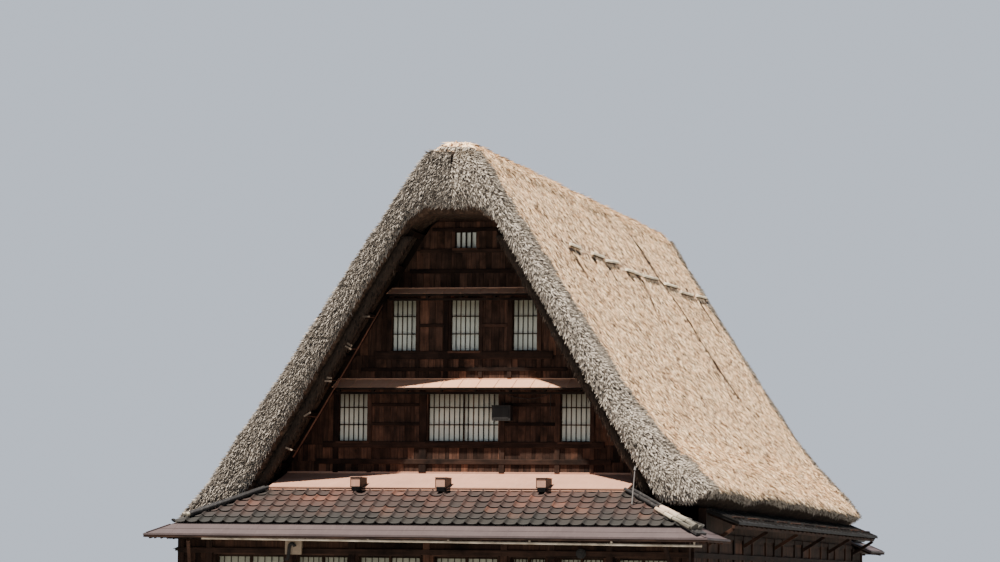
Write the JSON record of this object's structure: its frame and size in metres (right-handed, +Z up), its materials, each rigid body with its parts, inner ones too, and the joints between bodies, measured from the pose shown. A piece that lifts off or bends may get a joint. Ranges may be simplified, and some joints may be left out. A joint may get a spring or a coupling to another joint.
{
  "type": "building",
  "caption": "Minka farmhouse with a steep thatched roof, timber gable with paper windows, metal pent roofs and a tiled skirt roof",
  "frame": {"origin": "centre of the plan at ground level", "axes": "+Z up, -Y out of the street gable, +X to the right when facing that gable"},
  "size_m": [11.9, 25.47, 11.15],
  "materials": {
    "stone": "rough",
    "timber": "weathered",
    "dark_timber": "weathered",
    "glass_paper": "matt",
    "thatch": "rough straw",
    "dull_metal": "weathered",
    "copper_sheet": "weathered",
    "roof_tile": "matt",
    "pole_wood": "matt",
    "box_plastic": "matt",
    "lamp_metal": "satin"
  },
  "bodies": {
    "root": {"stone_platform": "stone", "ground_floor": "timber", "second_floor": "timber", "third_floor": "timber", "fourth_floor": "timber", "lower_wall_right": "dark_timber", "lower_windows_right": "glass_paper", "thatch_right": "thatch", "roof_grid_right": "timber", "lean_to_right": "dull_metal", "lower_wall_left": "dark_timber", "lower_windows_left": "glass_paper", "thatch_left": "thatch", "roof_grid_left": "timber", "lean_to_left": "dull_metal", "ridge_thatch": "thatch", "gable_wall_front": "dark_timber", "lower_wall_front": "dark_timber", "second_windows_front": "glass_paper", "third_windows_front": "glass_paper", "top_window_front": "glass_paper", "lower_doors_front": "glass_paper", "pent_roof_second_front": "copper_sheet", "pent_roof_third_front": "copper_sheet", "skirt_apron_front": "copper_sheet", "eave_beam_front": "timber", "skirt_roof_front": "dull_metal", "skirt_tiles_front": "roof_tile", "gable_wall_back": "dark_timber", "lower_wall_back": "dark_timber", "second_windows_back": "glass_paper", "third_windows_back": "glass_paper", "top_window_back": "glass_paper", "lower_doors_back": "glass_paper", "pent_roof_second_back": "copper_sheet", "pent_roof_third_back": "copper_sheet", "skirt_apron_back": "copper_sheet", "eave_beam_back": "timber", "skirt_roof_back": "dull_metal", "skirt_tiles_back": "roof_tile", "eave_pole": "pole_wood", "meter_box": "box_plastic", "gable_lamp": "lamp_metal"}
  },
  "joints": []
}
